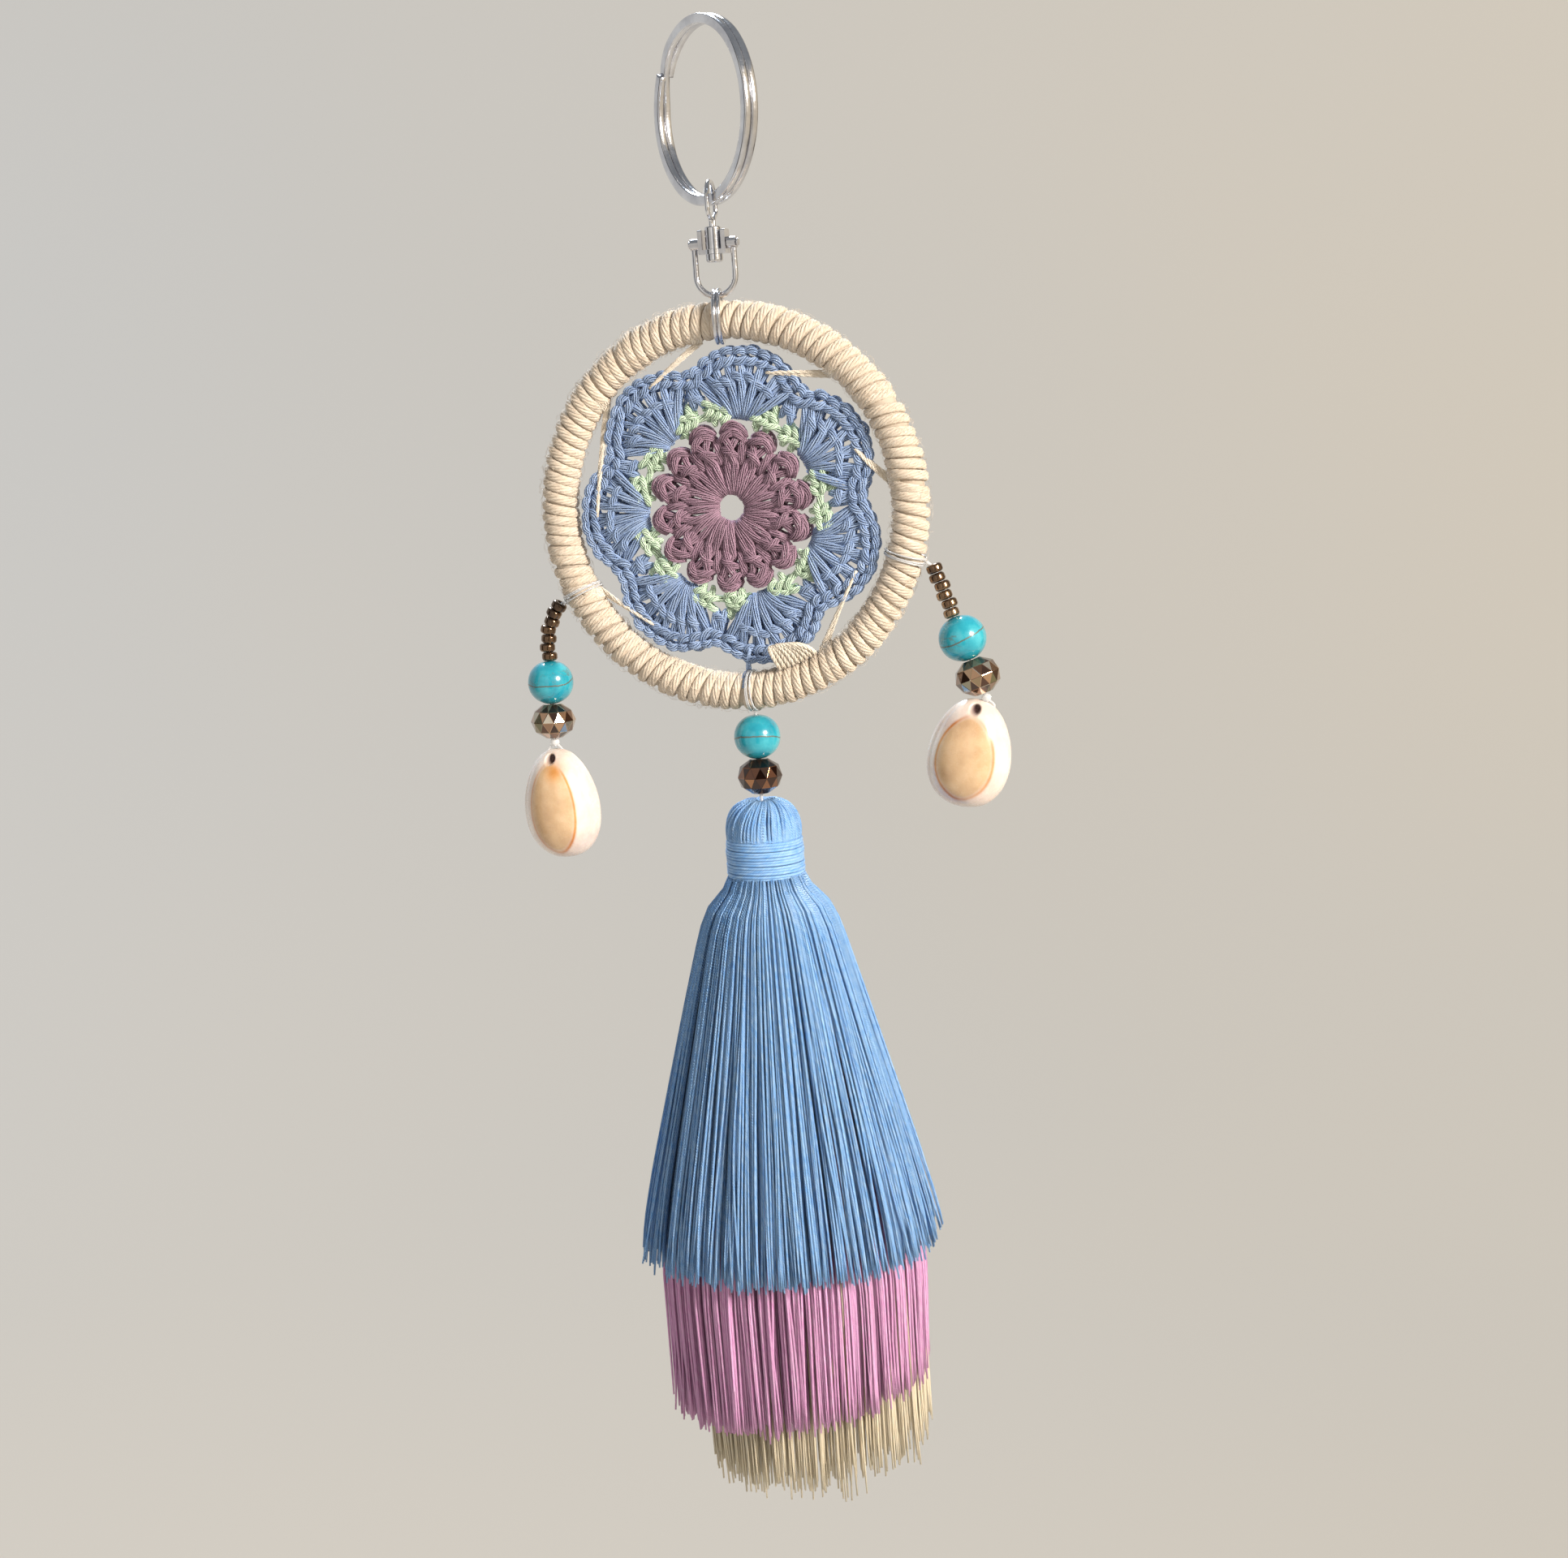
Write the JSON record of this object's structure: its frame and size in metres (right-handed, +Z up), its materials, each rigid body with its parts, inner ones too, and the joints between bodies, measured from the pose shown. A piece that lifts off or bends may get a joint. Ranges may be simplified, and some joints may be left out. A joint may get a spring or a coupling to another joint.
{
  "type": "dream catcher key-ring charm",
  "caption": "Dream catcher charm: yarn-wound hoop with a crochet rosette, beaded cowrie strands and a three-layer tassel, hung from a split ring by a swivel.",
  "frame": {"origin": "inner top of the key ring, where the catcher hangs", "axes": "+Z up along the hanging line, hoop in the XZ plane facing -Y"},
  "size_m": [0.0867, 0.051, 0.2462],
  "materials": {
    "chrome": "polished",
    "hoop_wire": "plain wire",
    "cotton_yarn": "soft matt cotton yarn",
    "mauve_yarn": "matt crochet yarn",
    "mint_yarn": "matt crochet yarn",
    "blue_yarn": "matt crochet yarn",
    "white_yarn": "matt crochet yarn",
    "nylon": "clear line",
    "bronze_glass": "metallic bronze coated glass",
    "turquoise_stone": "polished dyed stone",
    "cowrie_shell": "glossy shell",
    "blue_rayon": "silky rayon thread",
    "pink_rayon": "silky rayon thread",
    "cream_rayon": "silky rayon thread"
  },
  "bodies": {
    "key_ring": {"key_ring": "chrome"},
    "eye": {"swivel_eye": "chrome", "swivel_barrel": "chrome", "swivel_rivet": "chrome"},
    "yoke": {"swivel_yoke": "chrome", "bow_pin_left": "chrome", "bow_pin_right": "chrome"},
    "bow": {"swivel_bow": "chrome"},
    "jump_ring": {"jump_ring": "chrome"},
    "hoop": {"hoop_core": "hoop_wire", "hoop_winding": "cotton_yarn", "rosette_centre": "mauve_yarn", "rosette_mint_round": "mint_yarn", "rosette_blue_round": "blue_yarn", "lacing_tie_1": "white_yarn", "lacing_tie_2": "white_yarn", "lacing_tie_3": "white_yarn", "lacing_tie_4": "white_yarn", "lacing_tie_5": "white_yarn", "lacing_tie_6": "white_yarn", "lacing_tie_7": "white_yarn", "lacing_knot": "white_yarn", "wrap_left": "nylon", "wrap_right": "nylon", "wrap_centre": "nylon"},
    "left_strand": {"left_thread": "nylon", "left_seed_1": "bronze_glass", "left_seed_2": "bronze_glass", "left_seed_3": "bronze_glass", "left_seed_4": "bronze_glass", "left_seed_5": "bronze_glass", "left_seed_6": "bronze_glass", "left_seed_7": "bronze_glass", "left_knot": "nylon"},
    "left_turquoise": {"left_turquoise": "turquoise_stone"},
    "left_rondelle": {"left_rondelle": "bronze_glass"},
    "left_cowrie": {"left_cowrie": "cowrie_shell"},
    "right_strand": {"right_thread": "nylon", "right_seed_1": "bronze_glass", "right_seed_2": "bronze_glass", "right_seed_3": "bronze_glass", "right_seed_4": "bronze_glass", "right_seed_5": "bronze_glass", "right_seed_6": "bronze_glass", "right_knot": "nylon"},
    "right_turquoise": {"right_turquoise": "turquoise_stone"},
    "right_rondelle": {"right_rondelle": "bronze_glass"},
    "right_cowrie": {"right_cowrie": "cowrie_shell"},
    "centre_drop": {"centre_thread": "nylon"},
    "centre_turquoise": {"centre_turquoise": "turquoise_stone"},
    "centre_rondelle": {"centre_rondelle": "bronze_glass"},
    "tassel": {"tassel_head": "blue_rayon", "tassel_neck_wrap": "blue_rayon", "tassel_inner_tie": "blue_rayon", "tassel_skirt_blue": "blue_rayon", "tassel_skirt_pink": "pink_rayon", "tassel_skirt_cream": "cream_rayon"}
  },
  "joints": [
    {"name": "eye_swing", "type": "hinge", "parent": "key_ring", "child": "eye", "pos_m": [0, 0, -0.02745], "axis": [0.7547, -0.6561, 0], "range_deg": [-30, 30]},
    {"name": "yoke_spin", "type": "hinge", "parent": "eye", "child": "yoke", "pos_m": [0, 0, -0.0355], "axis": [0, 0, 1], "continuous": true},
    {"name": "bow_pivot", "type": "hinge", "parent": "yoke", "child": "bow", "pos_m": [0, 0, -0.0343], "axis": [1, 0, 0], "range_deg": [-35, 35]},
    {"name": "jump_ring_rock", "type": "hinge", "parent": "bow", "child": "jump_ring", "pos_m": [0, 0, -0.03935], "axis": [0, 1, 0], "range_deg": [-20, 20]},
    {"name": "hoop_swing", "type": "hinge", "parent": "jump_ring", "child": "hoop", "pos_m": [0, 0, -0.0465], "axis": [1, 0, 0], "range_deg": [-35, 35]},
    {"name": "left_strand_swing", "type": "hinge", "parent": "hoop", "child": "left_strand", "pos_m": [-0.0309, 0, -0.09154], "axis": [1, 0, 0], "range_deg": [-45, 45]},
    {"name": "left_turquoise_spin", "type": "hinge", "parent": "left_strand", "child": "left_turquoise", "pos_m": [-0.03498, 0, -0.10522], "axis": [-0.0125, 0, -0.9999], "continuous": true},
    {"name": "left_rondelle_spin", "type": "hinge", "parent": "left_strand", "child": "left_rondelle", "pos_m": [-0.03507, 0, -0.11187], "axis": [-0.0125, 0, -0.9999], "continuous": true},
    {"name": "left_cowrie_swing", "type": "hinge", "parent": "left_strand", "child": "left_cowrie", "pos_m": [-0.03511, 0, -0.11732], "axis": [1, 0, 0], "range_deg": [-30, 30]},
    {"name": "right_strand_swing", "type": "hinge", "parent": "hoop", "child": "right_strand", "pos_m": [0.03257, 0, -0.08727], "axis": [1, 0, 0], "range_deg": [-45, 45]},
    {"name": "right_turquoise_spin", "type": "hinge", "parent": "right_strand", "child": "right_turquoise", "pos_m": [0.03785, 0, -0.09984], "axis": [0.3302, 0, -0.9439], "continuous": true},
    {"name": "right_rondelle_spin", "type": "hinge", "parent": "right_strand", "child": "right_rondelle", "pos_m": [0.04005, 0, -0.10612], "axis": [0.3302, 0, -0.9439], "continuous": true},
    {"name": "right_cowrie_swing", "type": "hinge", "parent": "right_strand", "child": "right_cowrie", "pos_m": [0.04129, 0, -0.11136], "axis": [1, 0, 0], "range_deg": [-30, 30]},
    {"name": "centre_drop_swing", "type": "hinge", "parent": "hoop", "child": "centre_drop", "pos_m": [0.0017, 0, -0.1112], "axis": [1, 0, 0], "range_deg": [-30, 30]},
    {"name": "centre_turquoise_spin", "type": "hinge", "parent": "centre_drop", "child": "centre_turquoise", "pos_m": [0.0017, 0, -0.1153], "axis": [0, 0, 1], "continuous": true},
    {"name": "centre_rondelle_spin", "type": "hinge", "parent": "centre_drop", "child": "centre_rondelle", "pos_m": [0.0017, 0, -0.12195], "axis": [0, 0, 1], "continuous": true},
    {"name": "tassel_sway", "type": "hinge", "parent": "centre_drop", "child": "tassel", "pos_m": [0.0017, 0, -0.1273], "axis": [0, 1, 0], "range_deg": [-12, 12]}
  ]
}
